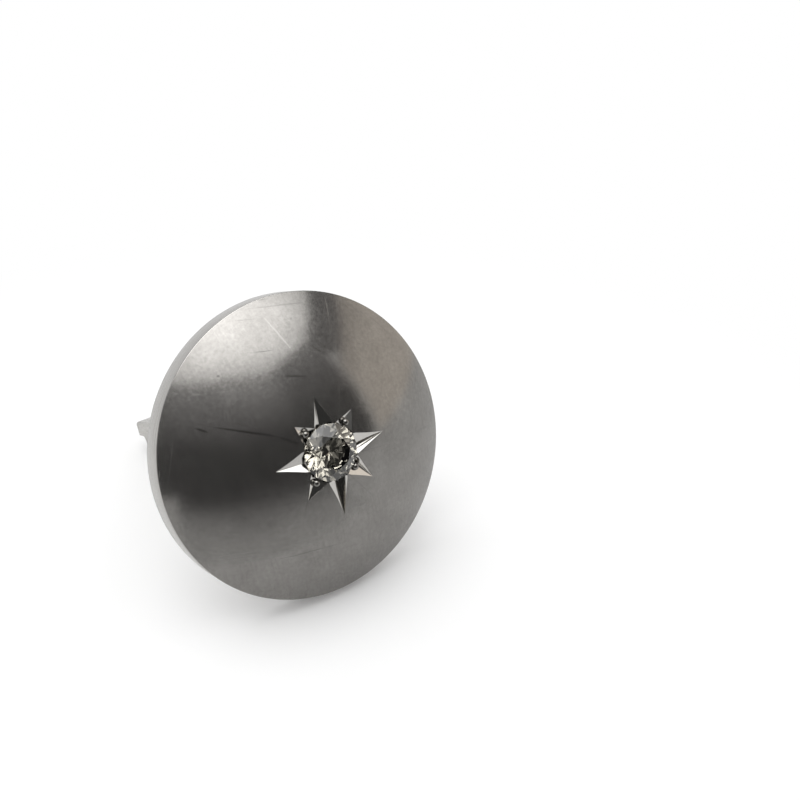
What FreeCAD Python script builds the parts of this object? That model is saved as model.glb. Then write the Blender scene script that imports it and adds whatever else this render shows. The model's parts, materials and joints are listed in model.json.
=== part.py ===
import FreeCAD, Part
import math
import os
import re
from FreeCAD import Placement, Rotation, Vector

# A round domed cufflink: a hollow white-metal button with a star-set brilliant, and a spring wing back.
# The button frame has its origin at the middle of the dome's edge: x to the right, y up the face and
# z out of the face. The finished pieces then stand on the rim and the wings, leaning back, face to -Y.
doc = FreeCAD.newDocument("cufflink")
sheet = doc.addObject("Spreadsheet::Sheet", "Sizes")

# Driving dimensions in millimetres; the splay and the lead are angles in degrees
SIZES = {
    # button
    "disc_radius": 9.0,
    "dome_height": 2.82,
    "shell_wall": 1.0,
    "rim_depth": 1.62,
    "rim_wall": 1.0,
    "plate_wall": 0.6,
    "plate_step": 0.5,
    "solder_gap": 0.03,
    # brilliant-cut stone and its seat
    "stone_radius": 1.65,
    "table_radius": 0.93,
    "star_tip_radius": 1.26,
    "crown_height": 0.5,
    "girdle_height": 0.08,
    "pavilion_depth": 1.42,
    "half_tip_radius": 0.4,
    "stone_sink": 0.08,
    "seat_clearance": 0.04,
    "bush_radius": 2.2,
    "bush_depth": 1.05,
    "bush_let_in": 0.05,
    "light_hole_radius": 0.5,
    # hand-cut star round the stone, each ray measured from the stone's centre to its point
    "ray_top": 3.3,
    "ray_upper_right": 2.7,
    "ray_right": 3.7,
    "ray_lower_right": 3.25,
    "ray_bottom": 3.75,
    "ray_lower_left": 2.95,
    "ray_left": 3.35,
    "ray_upper_left": 2.65,
    "ray_root": 1.2,
    "star_notch": 1.66,
    "bead_radius": 0.25,
    "bead_gap": 0.02,
    # post behind the button
    "foot_length": 6.4,
    "foot_width": 4.0,
    "foot_wall": 0.5,
    "bridge_wall": 0.6,
    "cheek_wall": 0.6,
    "strip_bend": 0.2,
    "pivot_depth": 8.0,
    "rivet_radius": 0.45,
    "rivet_fit": 0.02,
    "head_radius": 0.9,
    "head_height": 0.35,
    "sleeve_radius": 0.75,
    # wings
    "wing_wall": 0.35,
    "wing_half_width": 1.85,
    "wing_length": 13.5,
    "wing_top": 0.75,
    "wing_splay": 10.0,
    "wing_corner": 1.2,
    "wing_tip_round": 0.5,
    "bend_radius": 0.1,
    "heel_drop": 1.2,
    "heel_round": 0.4,
    "toe_reach": 12.6,
    "toe_drop": 2.05,
    "toe_round": 1.2,
    "running_gap": 0.05,
    "stop_gap": 0.05,
    # leaf spring
    "spring_wall": 0.15,
    "spring_width": 0.55,
    "spring_lead": 8.0,
    "spring_gap": 0.03,
}
for row, (alias, value) in enumerate(SIZES.items(), start=1):
    sheet.set(f"A{row}", alias)
    sheet.set(f"B{row}", str(value))
    sheet.setAlias(f"B{row}", alias)
doc.recompute()


def size(alias):
    return float(sheet.get(alias))


def bind(piece, prop, expression):
    """Bind a property to an expression in the words of the sheet."""
    words = re.sub(r"[a-z_]+", lambda m: "Sizes." + m[0] if m[0] in SIZES else m[0], str(expression))
    piece.setExpression(prop, words)


def primitive(kind, name, at=(0, 0, 0), turn=None, **sizes):
    """A primitive with its sizes and its base point bound to the sheet."""
    piece = doc.addObject("Part::" + kind, name)
    if turn:
        piece.Placement = Placement(Vector(), turn)
    for prop, expression in sizes.items():
        bind(piece, prop, expression)
    for axis, expression in zip("xyz", at):
        if expression:
            bind(piece, "Placement.Base." + axis, expression)
    return piece


def fuse(name, *pieces):
    joined = doc.addObject("Part::MultiFuse", name)
    joined.Shapes = list(pieces)
    return joined


def cut(name, base, *tools):
    result = doc.addObject("Part::Cut", name)
    result.Base = base
    result.Tool = tools[0] if len(tools) == 1 else fuse(name + "_tools", *tools)
    return result


def group(name, *pieces):
    """Separate solids kept together, with a place of their own."""
    together = doc.addObject("Part::Compound", name)
    together.Links = list(pieces)
    return together


def outline(name, corners, turn):
    """A closed sketch of straight runs; each corner (x, y, radius) is rounded by a tangent arc."""
    sketch = doc.addObject("Sketcher::SketchObject", name)
    sketch.Placement = Placement(Vector(), turn)
    ends = []
    for index, (x, y, radius) in enumerate(corners):
        corner = Vector(x, y, 0)
        before = (Vector(*corners[index - 1][:2], 0) - corner).normalize()
        after = (Vector(*corners[(index + 1) % len(corners)][:2], 0) - corner).normalize()
        half_turn = before.getAngle(after) / 2
        reach = radius / math.tan(half_turn)
        start, end = corner + before * reach, corner + after * reach
        ends.append((start, end))
        if radius:
            middle_way = (before + after).normalize()
            middle = corner + middle_way * (radius / math.sin(half_turn) - radius)
            sketch.addGeometry(Part.Arc(start, middle, end))
    for index, (start, end) in enumerate(ends):
        following = ends[(index + 1) % len(ends)][0]
        if end.distanceToPoint(following) > 1e-6:
            sketch.addGeometry(Part.LineSegment(end, following))
    return sketch


def prism(name, sketch, length, centred=False):
    """A solid from a sketch, as long as an expression in the words of the sheet."""
    solid = doc.addObject("Part::Extrusion", name)
    solid.Base = sketch
    solid.DirMode = "Normal"
    solid.Solid = True
    solid.Symmetric = centred
    bind(solid, "LengthFwd", length)
    return solid


NODES = []


def node(piece, label, placement=Placement()):
    """Name a finished piece and keep it, with its place in the button frame."""
    piece.Label = label
    piece.Placement = placement
    NODES.append(piece)


# Turns of the drawing planes: a cylinder along +Y, the (x, z) plan and the (z, y) side of a wing
ALONG_Y = Rotation(Vector(1, 0, 0), -90)
PLAN = Rotation(Vector(1, 0, 0), 90)
SIDE = Rotation(Vector(0, 1, 0), -90)

# Dome: part of a sphere through the disc's edge, with a thin wall
BALL_RADIUS = "((disc_radius^2 + dome_height^2) / (2 * dome_height))"
BALL_AT = (0, 0, f"dome_height - {BALL_RADIUS}")
ball_radius = (size("disc_radius") ** 2 + size("dome_height") ** 2) / (2 * size("dome_height"))


def dome_z(radius):
    """Height of the dome's face at a distance from its axis."""
    return size("dome_height") - ball_radius + math.sqrt(ball_radius**2 - radius**2)


ball = primitive("Sphere", "dome_ball", BALL_AT, Radius=BALL_RADIUS)
bind(ball, "Angle1", f"asin(1 - dome_height / {BALL_RADIUS})")
dome_hollow = primitive("Sphere", "dome_hollow", BALL_AT, Radius=f"{BALL_RADIUS} - shell_wall")

# Stone seat: a straight wall round the girdle, then a cone that follows the pavilion
GIRDLE_FOOT = "(dome_height - stone_sink - girdle_height)"
SEAT_RADIUS = "(stone_radius + seat_clearance)"
SEAT_CONE = f"(pavilion_depth * {SEAT_RADIUS} / stone_radius)"
BUSH_TOP = "(dome_height - shell_wall + bush_let_in)"
seat_wall = primitive(
    "Cylinder", "seat_wall", (0, 0, GIRDLE_FOOT), Radius=SEAT_RADIUS, Height="dome_height"
)
seat_cone = primitive(
    "Cone", "seat_cone", (0, 0, f"{GIRDLE_FOOT} - {SEAT_CONE}"),
    Radius1="0", Radius2=SEAT_RADIUS, Height=SEAT_CONE,
)
bush_pocket = primitive(
    "Cylinder", "bush_pocket", (0, 0, f"{BUSH_TOP} - bush_depth"),
    Radius="bush_radius + solder_gap", Height="bush_depth",
)

# Star: eight square V-cuts, each a slim pyramid lying edge down along the dome and running out at its
# point. They are as wide at the root as lets the edges of two neighbours meet at the notch.
RAYS = ("right", "upper_right", "top", "upper_left", "left", "lower_left", "bottom", "lower_right")
bead_reach = size("stone_radius") + size("bead_radius") + size("bead_gap")
ray_cutters = []
bead_centres = []
for index, ray in enumerate(RAYS):
    bearing = math.radians(45 * index)
    outward = Vector(math.cos(bearing), math.sin(bearing), 0)
    root = outward * size("ray_root") + Vector(0, 0, dome_z(size("ray_root")))
    point = outward * size("ray_" + ray) + Vector(0, 0, dome_z(size("ray_" + ray)))
    run = point - root
    across = Vector(math.sin(bearing), -math.cos(bearing), 0)
    cutter = doc.addObject("Part::Wedge", "ray_" + ray)
    ray_depth = f"star_notch * sin(22.5) * (ray_{ray} - ray_root) / (ray_{ray} - star_notch * cos(22.5))"
    for prop, sign in (("Xmin", "-"), ("Zmin", "-"), ("Xmax", ""), ("Zmax", "")):
        bind(cutter, prop, f"{sign}{ray_depth} / sqrt(2)")
    for prop in ("X2min", "X2max", "Z2min", "Z2max", "Ymin"):
        setattr(cutter, prop, 0)
    cutter.Ymax = run.Length
    edge_down = Rotation(Vector(0, 1, 0), 45)
    cutter.Placement = Placement(root, Rotation(across, run, across.cross(run), "YXZ") * edge_down)
    ray_cutters.append(cutter)
    if index % 2:
        # a bead lies in the V of each diagonal ray, against both its walls and the girdle
        cutter.recompute()
        depth = cutter.Xmax.Value * math.sqrt(2)
        way = Vector(run).normalize()
        normal = across.cross(run).normalize()
        if normal.z < 0:
            normal = -normal
        taper = depth / run.Length
        lift = (size("bead_radius") + size("bead_gap")) * math.sqrt(2 + taper**2) - depth
        lean = normal.dot(outward)
        along = (bead_reach - size("ray_root") - lean * lift) / (way.dot(outward) + lean * taper)
        bead_centres.append(root + way * along + normal * (lift + taper * along))

dome_blank = cut("dome_blank", ball, dome_hollow)
dome_form = cut("dome_form", dome_blank, seat_wall, seat_cone, bush_pocket, *ray_cutters)
node(dome_form, "dome_shell")

# Rim band under the dome, with a step that the back plate is let into
rim_bar = primitive("Cylinder", "rim_bar", (0, 0, "-rim_depth"), Radius="disc_radius", Height="rim_depth")
rim_bore = primitive(
    "Cylinder", "rim_bore", (0, 0, "-rim_depth"), Radius="disc_radius - rim_wall", Height="rim_depth"
)
rim_step = primitive(
    "Cylinder", "rim_step", (0, 0, "-rim_depth"),
    Radius="disc_radius - rim_wall + plate_step", Height="plate_wall",
)
node(cut("rim_cut", rim_bar, rim_bore, rim_step), "rim_band")


def foot_form(name, grow, low, height):
    """A bar with round ends: the outline of the post's foot, made larger all round by grow."""
    ends_apart = "(foot_length - foot_width)"
    bar = primitive(
        "Box", name + "_bar", (f"-{ends_apart} / 2", f"-(foot_width / 2 + {grow})", low),
        Length=ends_apart, Width=f"foot_width + 2 * {grow}", Height=height,
    )
    ends = [
        primitive(
            "Cylinder", name + "_" + end, (f"{sign}{ends_apart} / 2", 0, low),
            Radius=f"foot_width / 2 + {grow}", Height=height,
        )
        for end, sign in (("left", "-"), ("right", ""))
    ]
    return fuse(name, bar, *ends)


# Back plate: a flat disc soldered into that step, pierced for the foot of the post
plate_disc = primitive(
    "Cylinder", "plate_disc", (0, 0, "-rim_depth"),
    Radius="disc_radius - rim_wall + plate_step - solder_gap", Height="plate_wall",
)
foot_hole = foot_form("foot_hole", "solder_gap", "-rim_depth", "plate_wall")
node(cut("plate_cut", plate_disc, foot_hole), "back_plate")

# Seat bush: a turned collar behind the dome that carries the stone's pavilion
bush_bar = primitive(
    "Cylinder", "bush_bar", (0, 0, f"{BUSH_TOP} - bush_depth"), Radius="bush_radius", Height="bush_depth"
)
light_hole = primitive(
    "Cylinder", "light_hole", (0, 0, f"{BUSH_TOP} - bush_depth"),
    Radius="light_hole_radius", Height="bush_depth",
)
node(cut("bush_cut", bush_bar, seat_cone, light_hole), "seat_bush")


def brilliant():
    """A round brilliant: table, stars, kites and halves above the girdle, mains and halves below it."""
    girdle, table, star = size("stone_radius"), size("table_radius"), size("star_tip_radius")
    half_tip = size("half_tip_radius")
    girdle_top = size("dome_height") - size("stone_sink")
    girdle_foot = girdle_top - size("girdle_height")
    table_z = girdle_top + size("crown_height")
    culet = Vector(0, 0, girdle_foot - size("pavilion_depth"))

    def ring(radius, height, count, start=0.0):
        turns = [math.radians(start + 360 / count * k) for k in range(count)]
        return [Vector(radius * math.cos(a), radius * math.sin(a), height) for a in turns]

    # the kites and mains are flat, so the height of their side corners lies on their own slope
    step = math.cos(math.radians(22.5))
    kite_slope = size("crown_height") / (girdle - table)
    star_z = table_z - (star * step - table) * kite_slope
    half_z = culet.z + half_tip * step * size("pavilion_depth") / girdle
    table_ring = ring(table, table_z, 8)
    star_ring = ring(star, star_z, 8, 22.5)
    top_ring = ring(girdle, girdle_top, 16)
    foot_ring = ring(girdle, girdle_foot, 16)
    half_ring = ring(half_tip, half_z, 8, 22.5)
    facets = [table_ring]
    for k in range(8):
        main, tip, beyond = 2 * k, 2 * k + 1, (2 * k + 2) % 16
        following = (k + 1) % 8
        facets.append([table_ring[k], star_ring[k], table_ring[following]])
        facets.append([table_ring[k], star_ring[k - 1], top_ring[main], star_ring[k]])
        facets.append([star_ring[k], top_ring[main], top_ring[tip]])
        facets.append([star_ring[k], top_ring[tip], top_ring[beyond]])
        facets.append([culet, half_ring[k - 1], foot_ring[main], half_ring[k]])
        facets.append([half_ring[k], foot_ring[main], foot_ring[tip]])
        facets.append([half_ring[k], foot_ring[tip], foot_ring[beyond]])
    for k in range(16):
        beyond = (k + 1) % 16
        facets.append([top_ring[k], top_ring[beyond], foot_ring[beyond], foot_ring[k]])
    faces = [Part.Face(Part.makePolygon(facet + facet[:1])) for facet in facets]
    return Part.Solid(Part.Shell(faces))


stone = doc.addObject("Part::Feature", "stone")
stone.Shape = brilliant()
node(stone, "brilliant")

# Grain beads: metal raised from the diagonal rays, rounded and pushed up against the girdle
beads = []
for index, bead_centre in enumerate(bead_centres):
    bead = primitive("Sphere", f"bead_{index}", Radius="bead_radius")
    bead.Placement = Placement(bead_centre, Rotation())
    beads.append(bead)
node(group("bead_group", *beads), "grain_beads")

# Post foot: a bar with round ends, let through the back plate and soldered there
node(foot_form("foot", "0", "-rim_depth - foot_wall", "plate_wall + foot_wall"), "post_foot")

# Stirrup: one strip bent to a U, whose two cheeks hold the rivet. The heels of the wings stop against
# the sides of the cheeks, so the cheeks' width follows from the splay.
CHEEK_INNER = "(wing_top + running_gap)"
CHEEK_OUTER = f"({CHEEK_INNER} + cheek_wall)"
CHANNEL = "(wing_half_width - wing_wall)"
splay = math.radians(size("wing_splay"))
channel = size("wing_half_width") - size("wing_wall")
heel = channel - size("bend_radius") - size("running_gap")
cheek_half = channel * math.cos(splay) - heel * math.sin(splay) - size("stop_gap")
cheek_inner = size("wing_top") + size("running_gap")
cheek_outer = cheek_inner + size("cheek_wall")
bridge_z = -size("rim_depth") - size("foot_wall")
cheek_end = -size("pivot_depth") - cheek_half
strip_corners = [
    (bridge_z, cheek_outer, size("strip_bend") + size("cheek_wall")),
    (bridge_z, -cheek_outer, size("strip_bend") + size("cheek_wall")),
    (cheek_end, -cheek_outer, 0),
    (cheek_end, -cheek_inner, 0),
    (bridge_z - size("bridge_wall"), -cheek_inner, size("strip_bend")),
    (bridge_z - size("bridge_wall"), cheek_inner, size("strip_bend")),
    (cheek_end, cheek_inner, 0),
    (cheek_end, cheek_outer, 0),
]
cheek_corners = [
    (cheek_half, bridge_z, 0),
    (-cheek_half, bridge_z, 0),
    (-cheek_half, cheek_end, cheek_half),
    (cheek_half, cheek_end, cheek_half),
]
strip = prism("stirrup_strip", outline("stirrup_bend", strip_corners, SIDE), "2 * wing_half_width", True)
cheeks = prism("stirrup_cheeks", outline("stirrup_face", cheek_corners, PLAN), "4 * " + CHEEK_OUTER, True)
stirrup_blank = doc.addObject("Part::MultiCommon", "stirrup_blank")
stirrup_blank.Shapes = [strip, cheeks]
stirrup_hole = primitive(
    "Cylinder", "stirrup_hole", (0, "-" + CHEEK_OUTER, "-pivot_depth"), ALONG_Y,
    Radius="rivet_radius + rivet_fit", Height="2 * " + CHEEK_OUTER,
)
node(cut("stirrup_cut", stirrup_blank, stirrup_hole), "post_stirrup")

# Rivet through cheeks and wings, with a low round head on each side
HEAD_BALL = "((head_radius^2 + head_height^2) / (2 * head_height))"
shank = primitive(
    "Cylinder", "rivet_shank", (0, "-" + CHEEK_OUTER, "-pivot_depth"), ALONG_Y,
    Radius="rivet_radius", Height="2 * " + CHEEK_OUTER,
)
heads = []
for name, sign, turn in (("upper", "", ALONG_Y), ("lower", "-", ALONG_Y.inverted())):
    middle = f"{sign}({CHEEK_OUTER} + head_height - {HEAD_BALL})"
    head = primitive("Sphere", "rivet_head_" + name, (0, middle, "-pivot_depth"), turn, Radius=HEAD_BALL)
    bind(head, "Angle1", f"asin(1 - head_height / {HEAD_BALL})")
    heads.append(head)
node(fuse("rivet_joined", shank, *heads), "pivot_rivet")

# Sleeve on the rivet: keeps the wings up against the upper cheek and carries the spring
LOWER_WING_FOOT = "(wing_top - 2 * wing_wall - running_gap)"
SLEEVE_HEIGHT = f"({LOWER_WING_FOOT} - running_gap + {CHEEK_INNER})"
sleeve_bar = primitive(
    "Cylinder", "sleeve_bar", (0, "-" + CHEEK_INNER, "-pivot_depth"), ALONG_Y,
    Radius="sleeve_radius", Height=SLEEVE_HEIGHT,
)
sleeve_bore = primitive(
    "Cylinder", "sleeve_bore", (0, "-" + CHEEK_INNER, "-pivot_depth"), ALONG_Y,
    Radius="rivet_radius + rivet_fit", Height=SLEEVE_HEIGHT,
)
node(cut("sleeve_cut", sleeve_bar, sleeve_bore), "pivot_sleeve")

# Leaf spring: a hairpin of flat strip round the sleeve, its two legs pressing the wings apart
SPRING_INNER = "(sleeve_radius + running_gap)"
SPRING_OUTER = f"({SPRING_INNER} + spring_wall)"
SPRING_FOOT = f"(-({CHEEK_INNER} - {LOWER_WING_FOOT} + spring_width) / 2)"
LEG = f"(({CHANNEL} - spring_gap - {SPRING_OUTER} * cos(spring_lead)) / sin(spring_lead))"
leg_turn = size("wing_splay") + size("spring_lead")
hairpin_turn = Rotation(Vector(0, 1, 0), leg_turn) * ALONG_Y * Rotation(Vector(0, 0, 1), 180)
hairpin_outer = primitive(
    "Cylinder", "hairpin_outer", (0, SPRING_FOOT, 0), hairpin_turn,
    Radius=SPRING_OUTER, Height="spring_width", Angle="180 + 2 * (wing_splay + spring_lead)",
)
hairpin_inner = primitive(
    "Cylinder", "hairpin_inner", (0, SPRING_FOOT, 0), ALONG_Y, Radius=SPRING_INNER, Height="spring_width"
)
spring_legs = []
for name, side in (("left", -1), ("right", 1)):
    flat = primitive(
        "Box", "leg_flat_" + name, ("-" + SPRING_OUTER if side < 0 else SPRING_INNER, SPRING_FOOT, "-" + LEG),
        Length="spring_wall", Width="spring_width", Height=LEG,
    )
    leg = group("leg_" + name, flat)
    leg.Placement = Placement(Vector(), Rotation(Vector(0, 1, 0), -side * leg_turn))
    spring_legs.append(leg)
hairpin = cut("hairpin", hairpin_outer, hairpin_inner)
AT_PIVOT = Placement(Vector(0, 0, -size("pivot_depth")), Rotation())
node(fuse("spring_joined", hairpin, *spring_legs), "wing_spring", AT_PIVOT)


def wing(name, side, top, top_words):
    """One wing in its own frame, with the rivet at the origin and the tip towards -z.

    An angle strip with a bent edge is trimmed to its plan and to its side: sheet on top, flange down
    the outer side, heel in front of the rivet and toe near the tip.
    """
    outer, wall = size("wing_half_width"), size("wing_wall")
    inner = outer - wall - size("bend_radius") - size("running_gap")
    length, heel = size("wing_length"), inner
    drop, reach = size("toe_drop"), size("toe_reach")
    angle_corners = [
        (side * outer, top, size("bend_radius") + wall),
        (side * outer, -drop, 0),
        (side * (outer - wall), -drop, 0),
        (side * (outer - wall), top - wall, size("bend_radius")),
        (-side * inner, top - wall, 0),
        (-side * inner, top, 0),
    ]
    plan_corners = [
        (side * outer, heel, size("heel_round")),
        (-side * inner, heel, inner),
        (-side * inner, -length, size("wing_tip_round")),
        (side * outer, -length, size("wing_corner")),
    ]
    side_corners = [
        (heel, top, 0),
        (heel, -size("heel_drop"), size("heel_round")),
        (-reach, -drop, size("toe_round")),
        (-reach, top - wall, 0),
        (-length, top - wall, 0),
        (-length, top, 0),
    ]
    strip = prism(
        name + "_strip", outline(name + "_angle", angle_corners, Rotation()), "2 * wing_length", True
    )
    plan = prism(
        name + "_plan_cut", outline(name + "_plan", plan_corners, PLAN),
        "4 * toe_drop", True,
    )
    profile = prism(
        name + "_side_cut", outline(name + "_side", side_corners, SIDE),
        "4 * wing_half_width", True,
    )
    hole = primitive(
        "Cylinder", name + "_hole", (0, f"{top_words} - wing_wall", 0), ALONG_Y,
        Radius="rivet_radius + running_gap", Height="wing_wall",
    )
    trimmed = doc.addObject("Part::MultiCommon", name + "_trimmed")
    trimmed.Shapes = [strip, plan, profile]
    opened = AT_PIVOT * Placement(Vector(), Rotation(Vector(0, 1, 0), -side * size("wing_splay")))
    node(cut(name + "_cut", trimmed, hole), name, opened)


wing("wing_left", -1, size("wing_top"), "wing_top")
wing(
    "wing_right", 1, size("wing_top") - size("wing_wall") - size("running_gap"),
    "(wing_top - wing_wall - running_gap)",
)
doc.recompute()

# Lean: the floor touches the rim's back edge and is tangent to the round of both toes
toe_along = size("toe_reach") - size("toe_round")
toe_depth = size("pivot_depth") + toe_along * math.cos(splay)
toe_depth -= (size("wing_half_width") - size("wing_wall")) * math.sin(splay)
rise = size("disc_radius") - (size("toe_drop") - size("toe_round"))
run = toe_depth - size("rim_depth")
lean = math.acos(size("toe_round") / math.hypot(rise, run)) - math.atan2(run, rise)
stand = Placement(Vector(), Rotation(Vector(1, 0, 0), 90 - math.degrees(lean)))
for piece in NODES:
    piece.Placement = stand * piece.Placement
doc.recompute()

# The origin is on the floor, under the middle of the whole cufflink
box = FreeCAD.BoundBox()
for piece in NODES:
    box.add(piece.Shape.optimalBoundingBox(False, False))
to_floor = Placement(Vector(-box.Center.x, -box.Center.y, -box.ZMin), Rotation())
for piece in NODES:
    piece.Placement = to_floor * piece.Placement
doc.recompute()

for piece in doc.Objects:
    if "Invalid" in piece.State or "Error" in piece.State:
        raise RuntimeError(f"{piece.Name} failed: {piece.State}")
for piece in NODES:
    if piece.Shape.isNull() or not piece.Shape.isValid() or not piece.Shape.Solids:
        raise RuntimeError(f"{piece.Label} is not a valid solid")

os.makedirs("parts", exist_ok=True)
for piece in NODES:
    piece.Shape.exportStep(f"parts/{piece.Label}.step")
    print(f"{piece.Label}: {len(piece.Shape.Solids)} solid(s), {piece.Shape.Volume:.2f} mm3")
to_world = to_floor * stand
print(f"lean {math.degrees(lean):.2f} deg, size {box.XLength:.2f} x {box.YLength:.2f} x {box.ZLength:.2f} mm")
print("pivot", to_world.multVec(Vector(0, 0, -size("pivot_depth"))))
print("pivot axis", stand.multVec(Vector(0, 1, 0)))
print("cuff face", to_world.multVec(Vector(0, 5.5, -size("rim_depth"))))
print("face normal", stand.multVec(Vector(0, 0, 1)))
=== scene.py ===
import json
import math

import bmesh
import bpy
from mathutils import Matrix, Vector


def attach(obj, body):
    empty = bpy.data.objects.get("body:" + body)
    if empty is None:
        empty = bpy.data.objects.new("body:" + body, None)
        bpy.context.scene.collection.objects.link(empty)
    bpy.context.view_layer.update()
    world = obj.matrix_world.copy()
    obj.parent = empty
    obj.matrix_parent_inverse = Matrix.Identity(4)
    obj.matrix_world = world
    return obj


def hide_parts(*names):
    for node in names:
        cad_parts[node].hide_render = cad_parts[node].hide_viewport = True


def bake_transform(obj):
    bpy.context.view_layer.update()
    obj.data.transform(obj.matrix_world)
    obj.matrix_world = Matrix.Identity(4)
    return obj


# A round domed cufflink of satin white metal, with a star-set brilliant and a spring wing back.
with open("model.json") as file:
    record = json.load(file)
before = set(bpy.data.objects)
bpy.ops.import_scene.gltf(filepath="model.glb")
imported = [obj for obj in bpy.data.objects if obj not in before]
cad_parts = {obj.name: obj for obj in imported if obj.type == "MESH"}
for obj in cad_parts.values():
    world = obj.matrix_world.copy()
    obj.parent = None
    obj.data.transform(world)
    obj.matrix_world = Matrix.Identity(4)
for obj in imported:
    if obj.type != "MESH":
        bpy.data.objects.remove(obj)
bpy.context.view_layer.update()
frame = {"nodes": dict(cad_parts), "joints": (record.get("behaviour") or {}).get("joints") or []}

# Dome
# A shallow cap of white metal sheet, pressed over a former and soldered to the rim band.
# Its face is rubbed to a satin, and the star is then cut through the satin with a bright graver.

# Pieces are drawn in millimetres in the button's own frame: x to the right, y up the face and z out of
# the face, with the origin at the middle of the dome's edge. The CAD hinge says where that frame stands.
MM = 0.001
PIVOT_DEPTH = 8.0
hinge = next(joint for joint in frame["joints"] if joint["name"] == "right_wing_squeeze")
pivot = Vector(hinge["pos_m"])
up_face = Vector(hinge["axis"])
out_of_face = Vector((1, 0, 0)).cross(up_face)
turn = Matrix(((1, 0, 0), up_face, out_of_face)).transposed().to_4x4()
BUTTON = Matrix.Translation(pivot + out_of_face * PIVOT_DEPTH * MM) @ turn @ Matrix.Scale(MM, 4)

DISC_RADIUS = 9.0
DOME_HEIGHT = 2.82
SHELL_WALL = 1.0
BALL_RADIUS = (DISC_RADIUS**2 + DOME_HEIGHT**2) / (2 * DOME_HEIGHT)
BALL_Z = DOME_HEIGHT - BALL_RADIUS
EDGE_ROUND = 0.04
EDGE_BAND = 0.1
STONE_RADIUS = 1.65
PAVILION = 1.42
GIRDLE_FOOT = 2.66
SEAT_RADIUS = 1.69
SEAT_CONE = PAVILION * SEAT_RADIUS / STONE_RADIUS
SEAT_WALL = 2.0
RAY_ROOT = 1.6
STAR_NOTCH = 1.66
HALF_STEP = math.radians(22.5)
BEAD_RADIUS = 0.22
BEAD_GAP = 0.01
# each ray, from the right-hand one round to the left: its bearing in degrees, its reach from the stone's
# centre, how far the graver leaned to the left of the ray as it cut, and how deep it went, both as shares of
# the cut's half width
RAYS = (
    (0, 3.7, -0.5, 0.6),
    (45, 2.7, 0.35, 0.33),
    (92, 3.3, 0.3, 0.36),
    (130, 2.65, 0.0, 0.55),
    (180, 3.35, 0.2, 0.48),
    (228, 2.95, -0.3, 0.34),
    (271, 3.85, 0.55, 0.7),
    (315, 3.25, 0.45, 0.6),
)

# how closely a part is picked: by the side it lies on, by the ball it lies on, by its place, and by the
# cosine of its direction
TINY = 1e-4
SKIN = 0.004
NEAR = 0.01
SAME_WAY = 0.99


def pick(kind, test):
    """In edit mode, select the vertices, edges or faces that pass a test."""
    bpy.ops.mesh.select_mode(type=kind)
    bpy.ops.mesh.select_all(action="DESELECT")
    drawn = bmesh.from_edit_mesh(bpy.context.object.data)
    for part in {"VERT": drawn.verts, "EDGE": drawn.edges, "FACE": drawn.faces}[kind]:
        if test(part):
            part.select_set(True)
    drawn.select_flush_mode()
    bmesh.update_edit_mesh(bpy.context.object.data)


def middle(part):
    """Middle of an edge or of a face."""
    return sum((vert.co for vert in part.verts), Vector()) / len(part.verts)


def start(primitive, **sizes):
    """Add one primitive with nothing else selected, put its place in its mesh and open it for editing."""
    bpy.ops.object.select_all(action="DESELECT")
    primitive(**sizes)
    bpy.ops.object.transform_apply()
    bpy.ops.object.mode_set(mode="EDIT")
    return bpy.context.object


def shape(piece, kind, **settings):
    """Add a modifier to a piece and apply it."""
    modifier = piece.modifiers.new(kind.lower(), kind)
    for name, value in settings.items():
        setattr(modifier, name, value)
    bpy.context.view_layer.objects.active = piece
    bpy.ops.object.modifier_apply(modifier=modifier.name)


def carve(piece, tool, operation="DIFFERENCE"):
    """Cut a piece with a tool, or keep what they share, and throw the tool away."""
    shape(piece, "BOOLEAN", object=tool, operation=operation, solver="EXACT", use_self=True)
    bpy.data.objects.remove(tool)


def settle(piece, name, place=BUTTON, angle=35):
    """Name a finished piece, move its mesh from the drawing to its real place and shade it."""
    piece.name = name
    piece.data.name = name
    piece.matrix_world = place
    bpy.ops.object.select_all(action="DESELECT")
    piece.select_set(True)
    bpy.context.view_layer.objects.active = piece
    bpy.ops.object.transform_apply()
    bpy.ops.object.shade_smooth_by_angle(angle=math.radians(angle))


def dome_z(radius):
    """Height of the dome's face at a distance from its axis."""
    return BALL_Z + math.sqrt(BALL_RADIUS**2 - radius**2)


# the cap is cut from a ball, gets its wall, and is trimmed flat where it meets the rim
dome = start(
    bpy.ops.mesh.primitive_uv_sphere_add,
    segments=192, ring_count=128, radius=BALL_RADIUS, location=(0, 0, BALL_Z),
)
bpy.ops.mesh.select_all(action="SELECT")
bpy.ops.mesh.bisect(plane_co=(0, 0, -SHELL_WALL), plane_no=(0, 0, 1), clear_inner=True)
bpy.ops.object.mode_set(mode="OBJECT")
shape(dome, "SOLIDIFY", thickness=SHELL_WALL, offset=-1, use_rim=False)
bpy.ops.object.mode_set(mode="EDIT")
bpy.ops.mesh.select_all(action="SELECT")
bpy.ops.mesh.bisect(plane_co=(0, 0, 0), plane_no=(0, 0, 1), clear_inner=True)
pick("EDGE", lambda edge: edge.is_boundary)
bpy.ops.mesh.bridge_edge_loops()
pick("EDGE", lambda e: all(abs(v.co.z) < TINY and v.co.xy.length > DISC_RADIUS - NEAR for v in e.verts))
bpy.ops.mesh.bevel(offset=EDGE_ROUND, segments=3)
bpy.ops.object.mode_set(mode="OBJECT")

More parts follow.
